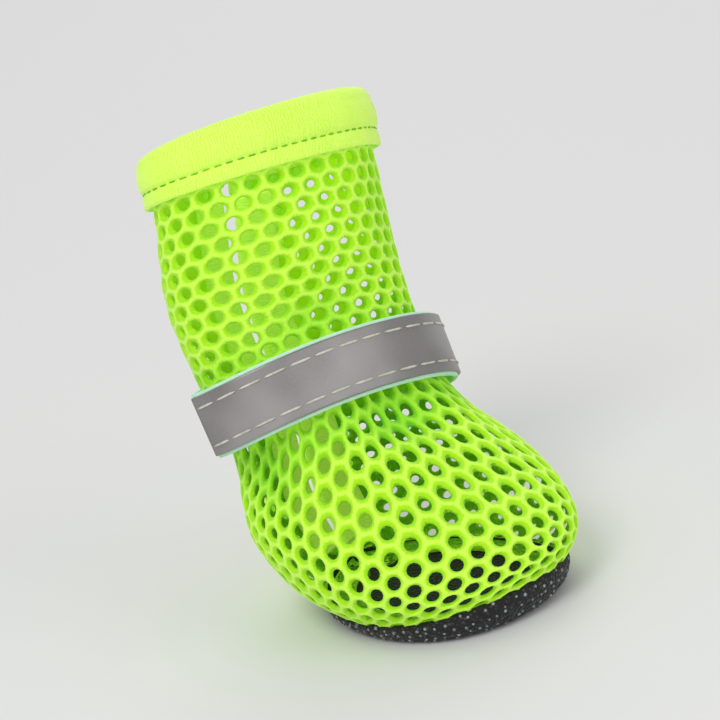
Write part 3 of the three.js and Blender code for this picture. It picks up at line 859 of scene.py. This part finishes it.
def with_tree(piece, tree, **inputs):
    """Puts a Geometry Nodes tree on a piece and sets its named inputs by their identifiers."""
    modifier = piece.modifiers.new(tree.name, "NODES")
    modifier.node_group = tree
    for item in tree.interface.items_tree:
        if item.in_out == "INPUT" and item.name in inputs:
            modifier[item.identifier] = inputs[item.name]
    return piece


def grown(piece, tree, pattern, **inputs):
    """A plain mesh of the pattern's copies."""
    applied(with_tree(piece, tree, Pattern=pattern, **inputs))
    bpy.data.objects.remove(pattern)
    print(piece.name, "has", triangles(piece), "triangles")
    return piece


# %% [markdown]
# ## The net: from triangles to knitted ridges
# Geometry Nodes turn each triangle grid into net. Dual Mesh makes the honeycomb. Each hexagon is
# extruded in place and its copy is shrunk and sunk, which gives the sloping side of the hole, and
# then the copy is deleted, which opens the hole. A second skin, turned over, closes the wall from
# the paw's side. A strip closes the cut edges. The merged wall is smoothed once by a subdivision,
# so that the holes get round.

# %% The honeycomb tree
NET_SIZES = {
    "Wall": MESH_WALL * MM,
    "Front Radius": 2.05 * MM,
    "Front Depth": 0.55 * MM,
    "Back Radius": 1.42 * MM,
    "Back Depth": 1.25 * MM,
    "Ridge Width": 0.9 * MM,
}


def honeycomb_tree():
    """Triangles to knitted net: a front skin with bowls, a back skin, and a strip at the cut edges."""
    tree, given, result = new_tree("honeycomb_net", NET_SIZES)
    add = partial(node, tree)

    def vector(operation, *parts, **scale):
        inputs = {f"i{place}": part for place, part in enumerate(parts)}
        made = add("ShaderNodeVectorMath", {"operation": operation}, **inputs, **scale)
        return made.outputs["Value" if operation == "LENGTH" else 0]

    def stored(mesh, name, value, kind="FLOAT", domain="POINT", where=True):
        made = add("GeometryNodeStoreNamedAttribute", {"data_type": kind, "domain": domain}, Geometry=mesh,
                   Selection=where, Name=name)
        put(tree, live(made.inputs, "Value"), value)
        return made.outputs["Geometry"]

    def without(mesh, faces):
        settings = {"domain": "FACE", "mode": "ALL"}
        return add("GeometryNodeDeleteGeometry", settings, Geometry=mesh, Selection=faces).outputs[0]

    def moved(mesh, where, **place):
        return add("GeometryNodeSetPosition", Geometry=mesh, Selection=where, **place).outputs[0]

    def raised(mesh, where=True):
        settings = {"mode": "FACES"}
        return add("GeometryNodeExtrudeMesh", settings, Mesh=mesh, Selection=where, Offset_Scale=0.0,
                   Individual=True).outputs

    def opposite(which):
        return add("FunctionNodeBooleanMath", {"operation": "NOT"}, i0=which).outputs[0]

    position = add("GeometryNodeInputPosition").outputs[0]
    normal = add("GeometryNodeInputNormal").outputs[0]
    cells = add("GeometryNodeDualMesh", i0=given["Geometry"], i1=True).outputs[0]
    for name, domain in (("corner", "POINT"), ("middle", "FACE")):
        cells = stored(cells, name, position, "FLOAT_VECTOR", domain)
        cells = stored(cells, name + "_normal", normal, "FLOAT_VECTOR", domain)
    # painted shade: each seat's share of shade is spread onto the net's points as the attribute shade
    cells = stored(cells, "shade", read(tree, "hollow", "FLOAT"))

    middle = read(tree, "middle")
    spoke = vector("SUBTRACT", read(tree, "corner"), middle)
    length = vector("LENGTH", spoke)
    crowded = times(tree, length, 0.76)

    def ring(radius, depth):
        """Points round a hole: this far from its middle, this deep, but never near the next hole."""
        reach = maths(tree, "MINIMUM", times(tree, radius, read(tree, "size", "FLOAT")), crowded)
        beside = vector("SCALE", vector("NORMALIZE", spoke), Scale=reach)
        sunk = vector("SCALE", read(tree, "middle_normal"), Scale=times(tree, depth, -1.0))
        return vector("ADD", vector("ADD", middle, beside), sunk), reach

    front, reach = ring(given["Front Radius"], given["Front Depth"])
    back, _ = ring(given["Back Radius"], given["Back Depth"])
    beyond = maths(tree, "DIVIDE", maths(tree, "SUBTRACT", length, reach), given["Ridge Width"])

    first = raised(stored(cells, "ridge", 1.0))
    bowls = moved(first["Mesh"], first["Top"], Position=front)
    bowls = stored(bowls, "ridge", maths(tree, "SUBTRACT", 1.0, beyond), where=first["Top"])
    second = raised(bowls, first["Top"])
    bowls = moved(second["Mesh"], second["Top"], Position=back)
    outer = without(stored(bowls, "ridge", -0.5, where=second["Top"]), second["Top"])

    through = vector("SCALE", read(tree, "corner_normal"), Scale=times(tree, given["Wall"], -1.0))
    rear = raised(stored(cells, "ridge", -1.0))
    inner = moved(rear["Mesh"], rear["Top"], Position=back)
    inner = without(moved(inner, opposite(rear["Top"]), Offset=through), rear["Top"])
    inner = add("GeometryNodeFlipFaces", Mesh=inner).outputs[0]

    cut = add("FunctionNodeCompare", {"data_type": "INT", "operation": "EQUAL"})
    put(tree, live(cut.inputs, "A"), add("GeometryNodeInputMeshEdgeNeighbors").outputs[0])
    put(tree, live(cut.inputs, "B"), 1)
    edge = add("GeometryNodeExtrudeMesh", {"mode": "EDGES"}, Mesh=cells, Selection=cut.outputs[0],
               Offset=through).outputs
    strip = without(edge["Mesh"], opposite(edge["Side"]))

    joined = add("GeometryNodeJoinGeometry")
    for part in (strip, inner, outer):
        tree.links.new(part, joined.inputs[0])
    merged = add("GeometryNodeMergeByDistance", Geometry=joined.outputs[0], Distance=0.00002).outputs[0]
    smooth = add("GeometryNodeSubdivisionSurface", Mesh=merged, Level=1).outputs[0]
    hand_out(tree, smooth, given["Material"], result)
    return tree


# %% Knit the net
def joined_piece(name, parts):
    """Joins plain meshes into one piece, without the attributes that only the tree needed."""
    work = bmesh.new()
    for part in parts:
        work.from_mesh(part.data)
    data = bpy.data.meshes.new(name)
    work.to_mesh(data)
    work.free()
    for material in parts[0].data.materials:
        data.materials.append(material)
    for part in parts:
        bpy.data.objects.remove(part)
    for spare in ("corner", "corner_normal", "middle", "middle_normal", "size", "hollow"):
        if spare in data.attributes:
            data.attributes.remove(data.attributes[spare])
    return shade_smooth(linked(name, data))


HONEYCOMB = honeycomb_tree()
ZONES = [applied(with_tree(seats, HONEYCOMB, **NET_SIZES, Material=NET_CLOTH)) for seats in SEATS]
NET = joined_piece("mesh_upper", ZONES)
print("net:", triangles(NET), "triangles")

# %% [markdown]
# ## The sole
# The sole is a tray of thick soft cloth. Its edge turns up to meet the mesh. The rings below go
# from the middle of the underside out, up round the edge, over the rim and back down inside. Small
# random loops of thread roughen the turned-up edge.

# %% Sole
LOOP_DEPTH, RIM_ROUNDING = 0.12, 0.28


def sole_piece():
    turns = np.linspace(0, 2 * math.pi, 360, endpoint=False)
    climbs = np.linspace(0, math.pi / 2, 12)
    loops = np.abs(np.random.default_rng(11).normal(0, LOOP_DEPTH, (len(climbs), len(turns))))
    path = [(share, 0, 0) for share in (0.2, 0.5, 0.7, 0.78)]
    path += [(SOLE_FLAT, climb, -loop * math.sin(climb)) for climb, loop in zip(climbs, loops)]
    rim = len(path)
    path += [(SOLE_FLAT, climb, SOLE_THICKNESS) for climb in np.linspace(math.pi / 2, 0, 10)]
    path += [(share, 0, SOLE_THICKNESS) for share in (0.7, 0.5, 0.2)]
    rings = [tray_point(turns, *step) for step in path]
    rings.insert(rim, (rings[rim - 1] + rings[rim]) / 2 + [0, 0, RIM_ROUNDING])
    return closed_tube("fabric_sole", rings, [rings[0].mean(0), rings[-1].mean(0)], SOLE_CLOTH)


SOLE = sole_piece()
print("sole:", triangles(SOLE), "triangles")

# %% [markdown]
# ## Rubber dots under the sole
# Small drops of glossy rubber stop the boot from slipping. They sit in staggered rows on the
# underside and on the turned-up edge. The seats are laid out here, and Geometry Nodes set one
# low drop on each.

# %% The dot tree
DOT_ALONG, DOT_ROW = 3.0, 2.7
DOT_RADIUS, DOT_HEIGHT, SMALLEST_DOT, LARGEST_DOT = 0.42, 0.34, 0.7, 1.1
DROP_RINGS = [(1.0, -0.25), (1.0, 0.1), (0.78, 0.72), (0.4, 0.95)]
EDGE_CLIMBS = (24, 45, 64, 82)


def dots_on_flat():
    """Points on the sole's flat, every other row moved half a step."""
    edge = packed_face(np.linspace(0, 2 * math.pi, 721), 0) - [SOLE_MIDDLE, 0, 0]
    angles = np.arctan2(edge[:, 1], edge[:, 0])
    order = np.argsort(angles)
    j, i = np.mgrid[-12:13, -14:15]
    x, y = DOT_ALONG * (i + 0.5 * (j % 2)), DOT_ROW * j
    reach = np.interp(np.arctan2(y, x), angles[order], np.hypot(edge[:, 0], edge[:, 1])[order])
    kept = np.hypot(x, y) < reach * (SOLE_FLAT - 0.02)
    return np.stack([SOLE_MIDDLE + x, y, 0 * x], -1)[kept]


def dots_on_edge(shake):
    """Points on the turned-up edge, in uneven rows, each with the direction out of it."""
    around = np.linspace(0, 2 * math.pi, 361)
    for k, climb in enumerate(EDGE_CLIMBS):
        walked = lengths(tray_point(around, SOLE_FLAT, climb * DEGREE, 0))
        count = int(walked[-1] / DOT_ALONG * 1.15)
        places = (np.arange(count) + 0.5 * (k % 2) + shake.normal(0, 0.22, count)) * walked[-1] / count
        turns = np.interp(places, walked, around)
        climbs = (climb + shake.normal(0, 4, count)) * DEGREE
        here = tray_point(turns, SOLE_FLAT, climbs, 0)
        yield here, unit(here - tray_point(turns, SOLE_FLAT, climbs, 0.5))


def dot_tree():
    tree, given, result = new_tree("rubber_dots", {"Pattern": "Object", "Smallest": 0.8, "Seed": 7})
    size = node(tree, "FunctionNodeRandomValue", {"data_type": "FLOAT"})
    for name, value in (("Min", given["Smallest"]), ("Max", LARGEST_DOT), ("Seed", given["Seed"])):
        put(tree, live(size.inputs, name), value)
    sizes = live(size.outputs, "Value")
    dots = copies(tree, given["Geometry"], given["Pattern"], "Z", read(tree, "out"), Scale=sizes)
    hand_out(tree, dots, given["Material"], result)
    return tree


def sole_dots():
    flat = dots_on_flat()
    edges, outs = zip(*dots_on_edge(np.random.default_rng(9)))
    outs = np.concatenate([[[0, 0, -1]] * len(flat), *outs])
    seats = plain_mesh("rubber_dots", np.concatenate([flat, *edges]), out=outs)
    # a low drop: a cap over a short skirt
    rings = [small_ring(DOT_RADIUS * wide, DOT_HEIGHT * high, 8, 2) for wide, high in DROP_RINGS]
    drop = closed_tube("dot_pattern", rings, [(0, 0, DROP_RINGS[0][1] * DOT_HEIGHT), (0, 0, DOT_HEIGHT)])
    print(len(outs), "dots")
    return grown(seats, dot_tree(), drop, Smallest=SMALLEST_DOT, Seed=7, Material=DOT_RUBBER)


DOTS = sole_dots()

# %% [markdown]
# ## Stitches
# A sewing machine repeats one stitch along a line, so Geometry Nodes do too: the line is cut into
# equal steps and a small thread is set on each, turned along the line.

# %% The stitch tree
def stitch_tree():
    tree, given, result = new_tree("running_stitch", {"Pitch": 0.005, "Pattern": "Object"})
    line = node(tree, "GeometryNodeMeshToCurve", Mesh=given["Geometry"]).outputs[0]
    even = node(tree, "GeometryNodeResampleCurve", {"mode": "LENGTH"}, Curve=line, Length=given["Pitch"])
    tangent = node(tree, "GeometryNodeInputTangent").outputs[0]
    stitches = copies(tree, even.outputs[0], given["Pattern"], "X", tangent)
    hand_out(tree, stitches, given["Material"], result)
    return tree


STITCHES = stitch_tree()


def thread_bead(name, length, radius):
    """One stitch: a short thread that gets thin at both ends."""
    rings = []
    for along in np.linspace(-1, 1, 7):
        thin = max(math.sqrt(max(1 - along**6, 0)), 0.25)
        rings.append(small_ring(thin * radius, along * length / 2, 6, 0))
    return closed_tube(name, rings)


def stitched(name, lines, material, pitch, length, radius):
    """Stitches along several lines of points, as one plain piece."""
    starts = np.cumsum([0] + [len(line) for line in lines])
    edges = [(i, i + 1) for a, b in zip(starts[:-1], starts[1:]) for i in range(a, b - 1)]
    piece = plain_mesh(name, np.concatenate(lines), edges)
    bead = thread_bead(name + "_bead", length, radius)
    return grown(piece, STITCHES, bead, Pitch=pitch * MM, Material=material)


# %% [markdown]
# ## Folded tape
# The tape is a strip of brushed knit, folded over the cut edge of the mesh and sewn through both
# legs. Beside the seam it puffs up into a soft round band, and a flat tail stays below the seam.
# Its section is worked out once, as steps of into, the way in from the cut edge, and off, the
# distance from the mesh's outer face. The seam draws up fine puckers, which the wall gets as ripples.

# %% The tape's section
PUFF, PUCKER_DEPTH, PUCKER_SPACING = 0.5, 0.14, 1.5


def tape_section():
    """Its outer and inner sides and its pucker, from the tail's cut edge to the inner leg's."""
    steps = []
    for back in (0, 0.12, 0.4, 1.0, 1.8, 2.6, TAIL - 0.75):
        edge = min(back / 0.5, 1)
        steps.append((TAPE_DEPTH - back, TAPE_THICKNESS * (0.45 + 0.55 * math.sqrt(edge * (2 - edge))), 0.35))
    steps += [(SEAM + 0.35, 0.72, 0.6), (SEAM, 0.5, 0.6), (SEAM - 0.35, 0.75, 0.6)]
    for part in np.linspace(0.06, 1, 14):
        swell = PUFF * math.sin(math.pi * min(part * 1.06, 1)) ** 0.7
        steps.append(((SEAM - 0.4) * (1 - part), TAPE_THICKNESS + swell, max(1 - 1.3 * part, 0)))
    outer = [(into, TAPE_GAP + thick) for into, thick, _ in steps]
    inner = [(into, TAPE_GAP) for into, _, _ in steps]
    pucker = [p for *_, p in steps]
    for angle in np.linspace(0, 180, 13)[1:] * DEGREE:
        for side, radius in ((outer, FOLD_REACH), (inner, FOLD_REACH - TAPE_THICKNESS)):
            side.append((-radius * math.sin(angle), -MESH_WALL / 2 + radius * math.cos(angle)))
        pucker.append(0.0)
    under = -MESH_WALL - TAPE_GAP
    for into in (1.5, 3.5, 5.5, INNER_LEG - 0.4, INNER_LEG):
        outer.append((into, under - TAPE_THICKNESS * (0.5 if into == INNER_LEG else 1)))
        inner.append((into, under))
        pucker.append(0.2)
    return np.array(outer), np.array(inner), np.array(pucker)


def ripples(along, seed):
    """Uneven fine puckers along a seam, from -1 to 1."""
    shake = np.random.default_rng(seed)
    total = np.zeros(along.shape)
    for scale in (0.8, 1.0, 1.35):
        total += np.sin(2 * math.pi * along / (PUCKER_SPACING * scale) + shake.uniform(0, 6.3)) / 3
    return total * (0.6 + 0.4 * np.sin(along / 9.0 + shake.uniform(0, 6.3)))


# %% Collar tape and slit tapes
SLIT_HEIGHTS = np.linspace(FIRST_ROW, SLIT_TOP, 260)
COLLAR_COLUMNS = 420


def collar_line(into, short=0.0, count=COLLAR_COLUMNS):
    """Turns and heights of a line this far in from the collar's edge, from slit to slit."""
    height = MESH_TOP - into
    reach = turn_beside(height, ring_at(height)["slit"] + short)
    return np.linspace(-reach, reach, count), np.full(count, height)


def slit_line(side, into, heights=SLIT_HEIGHTS):
    """Turns and heights of a line this far in from the slit's edge, on one side of it."""
    return side * turn_beside(heights, ring_at(heights)["slit"] + FOLD_REACH + into), heights


def tape_piece(name, along, seed, line):
    """Folded tape over an edge, where line gives its lines this far in from the edge."""
    outer, inner, pucker = tape_section()
    waves = PUCKER_DEPTH * ripples(along, seed)

    def grid(section, puckers):
        return np.array([off_face(*line(into), off + high * waves)
                         for (into, off), high in zip(section, puckers)])

    return wall(name, grid(outer, pucker), grid(inner, 0 * pucker), along, outer[:, 0], TAPE_CLOTH)


COLLAR = tape_piece("collar_tape", np.linspace(0, 150, COLLAR_COLUMNS), 11, collar_line)
SLIT_RIGHT = tape_piece("slit_tape_right", SLIT_HEIGHTS, 21, partial(slit_line, -1))
SLIT_LEFT = tape_piece("slit_tape_left", SLIT_HEIGHTS, 22, partial(slit_line, 1))
print("tapes:", [triangles(tape) for tape in (COLLAR, SLIT_RIGHT, SLIT_LEFT)], "triangles")


# %% Stitches in the tapes' grooves
GROOVE_LIFT = 0.62


def groove_lines():
    heights = np.linspace(FIRST_ROW + 1, SLIT_TOP - 1, 200)
    lines = [collar_line(SEAM, 1.5, 300), slit_line(-1, SEAM, heights), slit_line(1, SEAM, heights)]
    return [off_face(*line, np.full(len(line[0]), TAPE_GAP + GROOVE_LIFT)) for line in lines]


GROOVE_STITCHES = stitched("tape_stitches", groove_lines(), THREAD_GREEN, pitch=2.6, length=1.7, radius=0.2)

# %% [markdown]
# ## Strap and reflective tape
# The strap starts flat on the mesh at the boot's right, goes round the heel and the front, climbs
# onto its own start and ends a little way off the boot. The reflective tape is sewn on its outer
# face. Both are bands along one line, so one function makes them.

# %% The strap's line
FLAT_SHARE, FLAT_SWING = 0.55, 0.35
TAPE_SWELL = 1.5
SPREAD = np.linspace(-12, 12, 7) * DEGREE


def strap_rule(turn):
    """The direction across the strap: partly square to its ring, partly flat on the mesh."""
    ring = ring_at(STRAP_HEIGHT)
    forward = np.array([ring["xf"] - ring["xb"], 0, ring["zf"] - ring["zb"]])
    square = unit(np.cross(forward, [0, 1, ring["bank"]]))
    reach = STRAP_WIDTH / 2
    flat = unit(smooth_face(turn, STRAP_HEIGHT + reach) - smooth_face(turn, STRAP_HEIGHT - reach))
    return unit(square + (flat - square) * (FLAT_SHARE - FLAT_SWING * np.cos(turn))[..., None])


def strap_out(turn):
    """The direction out of the strap."""
    around = smooth_face(turn + 0.02, STRAP_HEIGHT) - smooth_face(turn - 0.02, STRAP_HEIGHT)
    return unit(np.cross(around, strap_rule(turn)))


def swell_under_strap(turn):
    """How far the folds, or the slit's tapes, push the strap out."""
    waist, out = smooth_face(turn, STRAP_HEIGHT), strap_out(turn)
    rises = np.linspace(-STRAP_WIDTH / 2 - 1, STRAP_WIDTH / 2 + 1, 13)
    swells = [((packed_face(turn, STRAP_HEIGHT + rise) - waist) * out).sum(-1) for rise in rises]
    beside = np.abs(waist[..., 1] - ring_at(STRAP_HEIGHT)["shift"]) - TAPE_DEPTH - FOLD_REACH
    over_tape = np.where(np.cos(turn) < 0, 1 - smoothstep(beside, 1, 6), 0)
    return np.maximum(np.max(swells, axis=0), 0) + over_tape * (TAPE_GAP + TAPE_SWELL)


def strap_stand(turn):
    """How far the strap stands off the smooth face: it spans hollows and rises slowly."""
    highest = [np.max([swell_under_strap(turn + a + b) for b in SPREAD], axis=0) for a in SPREAD]
    return sum(highest) / len(SPREAD)


def strap_line(degrees):
    """Middle of the strap's inner face, with the directions out of it and across it."""
    held = np.maximum(degrees, LEAVE_SHAFT)
    turn = held * DEGREE
    onto = STRAP_START - 360 + STRAP_LIFT_TURN - held
    climbed = smoothstep(onto, 0, STRAP_LIFT_TURN)
    stand = STRAP_CLEARANCE + strap_stand(turn) + climbed * (STRAP_THICKNESS + GAP)
    out, rule = strap_out(turn), strap_rule(turn)
    point = smooth_face(turn, STRAP_HEIGHT) + out * stand[:, None]
    return point + np.cross(rule, out) * (degrees - held)[:, None] * 0.5, out, rule


STEPS = np.linspace(STRAP_START, STRAP_END, 300)
LINE_POINT, LINE_OUT, LINE_RULE = strap_line(STEPS)
WALKED = lengths(LINE_POINT)
print("strap is", round(float(WALKED[-1])), "mm long")


# %% The two bands
def band(name, first, width, inside, thickness, material, corner):
    """A band with rounded long edges, from the turn first to the strap's end."""
    keep = STEPS <= first + 1e-6
    point, out, rule = LINE_POINT[keep], LINE_OUT[keep], LINE_RULE[keep]
    across = np.array([-0.5, -0.49, -0.465, -0.42, -0.25, 0, 0.25, 0.42, 0.465, 0.49, 0.5]) * width
    near_edge = np.clip((width / 2 - np.abs(across)) / corner, 0, 1)
    half = thickness / 2 * (0.3 + 0.7 * np.sqrt(near_edge * (2 - near_edge)))
    lay = (point + out * (inside + thickness / 2))[None] + rule[None] * across[:, None, None]
    rise = out[None] * half[:, None, None]
    return wall(name, lay + rise, lay - rise, WALKED[keep], across, material)


STRAP = band("ankle_strap", STRAP_START, STRAP_WIDTH, 0, STRAP_THICKNESS, STRAP_CLOTH, corner=0.45)
REFLECTIVE = band("reflective_band", TAPE_START, REFLECTIVE_WIDTH, STRAP_THICKNESS,
                  REFLECTIVE_THICKNESS + GAP, REFLECTIVE_CLOTH, corner=0.2)
print("bands:", triangles(STRAP), triangles(REFLECTIVE), "triangles")

# %% Stitches on the reflective tape
STITCH_MARGIN, STITCH_LIFT = 3.6, 0.06


def strap_stitch_lines():
    """Two lines on the tape, which stop a little before its cut ends."""
    tape_first = np.interp(-TAPE_START, -STEPS, WALKED)
    keep = (WALKED >= tape_first + STITCH_MARGIN) & (WALKED <= WALKED[-1] - STITCH_MARGIN)
    above = STRAP_THICKNESS + GAP + REFLECTIVE_THICKNESS + STITCH_LIFT
    return [LINE_POINT[keep] + LINE_OUT[keep] * above + LINE_RULE[keep] * across for across in (-4.5, 4.3)]


STRAP_STITCHES = stitched(
    "strap_stitches", strap_stitch_lines(), THREAD_PALE, pitch=6.0, length=5.1, radius=0.27)

# %% [markdown]
# ## Every piece rides on the boot
# The boot has no joints, so all pieces ride on its one body. Each piece that is a better version of
# a imported solid replaces it.

# %% Ride and replace
DRESSED = [
    (NET, "mesh", ("upper",)),
    (SOLE, "sole", ("sole",)),
    (COLLAR, "tape", ("collar_binding",)),
    (SLIT_RIGHT, "tape", ("slit_binding_right",)),
    (SLIT_LEFT, "tape", ("slit_binding_left",)),
    (STRAP, "strap", ("strap",)),
    (REFLECTIVE, "reflective", ("reflective_tape",)),
    (DOTS, "sole", ()),
    (GROOVE_STITCHES, "tape", ()),
    (STRAP_STITCHES, "reflective", ()),
]
for piece, slot, nodes in DRESSED:
    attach(piece, "root")
    if nodes:
        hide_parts(*nodes)
    print(piece.name, "rides on root")

# %% [markdown]
# ## Floor, light and camera
# A plain pale floor and broad soft lights, as in a small studio. The camera has the photo's angle
# to the boot and its roll. It stands 81 cm away, behind a long lens.

# %% Floor
REACH = 3000
CORNERS = [(-REACH, -REACH, 0), (REACH, -REACH, 0), (REACH, REACH, 0), (-REACH, REACH, 0)]
FLOOR = plain_mesh("floor", CORNERS, (), [(0, 1, 2, 3)])
FLOOR.data.materials.append(new_material("pale_floor", Base_Color=linear("#e1e1e1"), Roughness=0.85)[0])
FLOOR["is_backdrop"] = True
print("floor:", round(2 * REACH * MM, 1), "m wide")

# %% Camera
AZIMUTH, ELEVATION, ROLL = 54 * DEGREE, 18 * DEGREE, 12.5 * DEGREE
DISTANCE, FILL, SENSOR = 0.81, 0.76, 36

level = Vector((math.sin(AZIMUTH), -math.cos(AZIMUTH), 0))
away = level * math.cos(ELEVATION) + Vector((0, 0, math.sin(ELEVATION)))
level_right = Vector((math.cos(AZIMUTH), math.sin(AZIMUTH), 0))
level_up = away.cross(level_right)
right = level_right * math.cos(ROLL) - level_up * math.sin(ROLL)
up = level_right * math.sin(ROLL) + level_up * math.cos(ROLL)


def framed():
    """The middle of the boot as the camera sees it, and its larger side."""
    spots = [v.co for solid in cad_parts.values() for v in solid.data.vertices]
    middle, sides = Vector(), []
    for axis in (right, up, away):
        along = [spot.dot(axis) for spot in spots]
        middle += axis * (min(along) + max(along)) / 2
        sides.append(max(along) - min(along))
    return middle, max(sides[:2])


middle, side = framed()
camera = linked("camera", bpy.data.cameras.new("camera"))
turned = Matrix((right, up, away)).transposed().to_4x4()
camera.matrix_world = Matrix.Translation(middle + away * DISTANCE) @ turned
camera.data.sensor_width = SENSOR
camera.data.lens = SENSOR * FILL * DISTANCE / side
bpy.context.scene.camera = camera
print("lens", round(camera.data.lens), "mm, side", round(side * 1000), "mm")


# %% Lights
TARGET = Vector((-0.005, 0, 0.05))
LAMPS = [
    ("key", (0.35, -0.75, 0.95), 0.6, 5.5),
    ("fill", (1.1, 0.25, 0.55), 0.8, 2.2),
    ("back", (-0.7, 0.6, 0.8), 0.8, 2.2),
]
for name, place, size, power in LAMPS:
    light = linked(name, bpy.data.lights.new(name, "AREA"))
    light.data.shape = "DISK"
    light.data.size = size
    light.data.energy = power
    light.location = place
    light.rotation_euler = (TARGET - Vector(place)).to_track_quat("-Z", "Y").to_euler()
world = bpy.data.worlds.new("studio")
world.use_nodes = True
background = world.node_tree.nodes["Background"]
background.inputs["Color"].default_value = (1, 1, 1, 1)
background.inputs["Strength"].default_value = 0.62
bpy.context.scene.world = world
bpy.context.scene.view_settings.view_transform = "Standard"
print("lights:", [name for name, *_ in LAMPS])

# %% Sizes
new_box = [list(corner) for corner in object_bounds()]
print("visual box, mm:", [[round(1000 * v, 1) for v in corner] for corner in new_box])
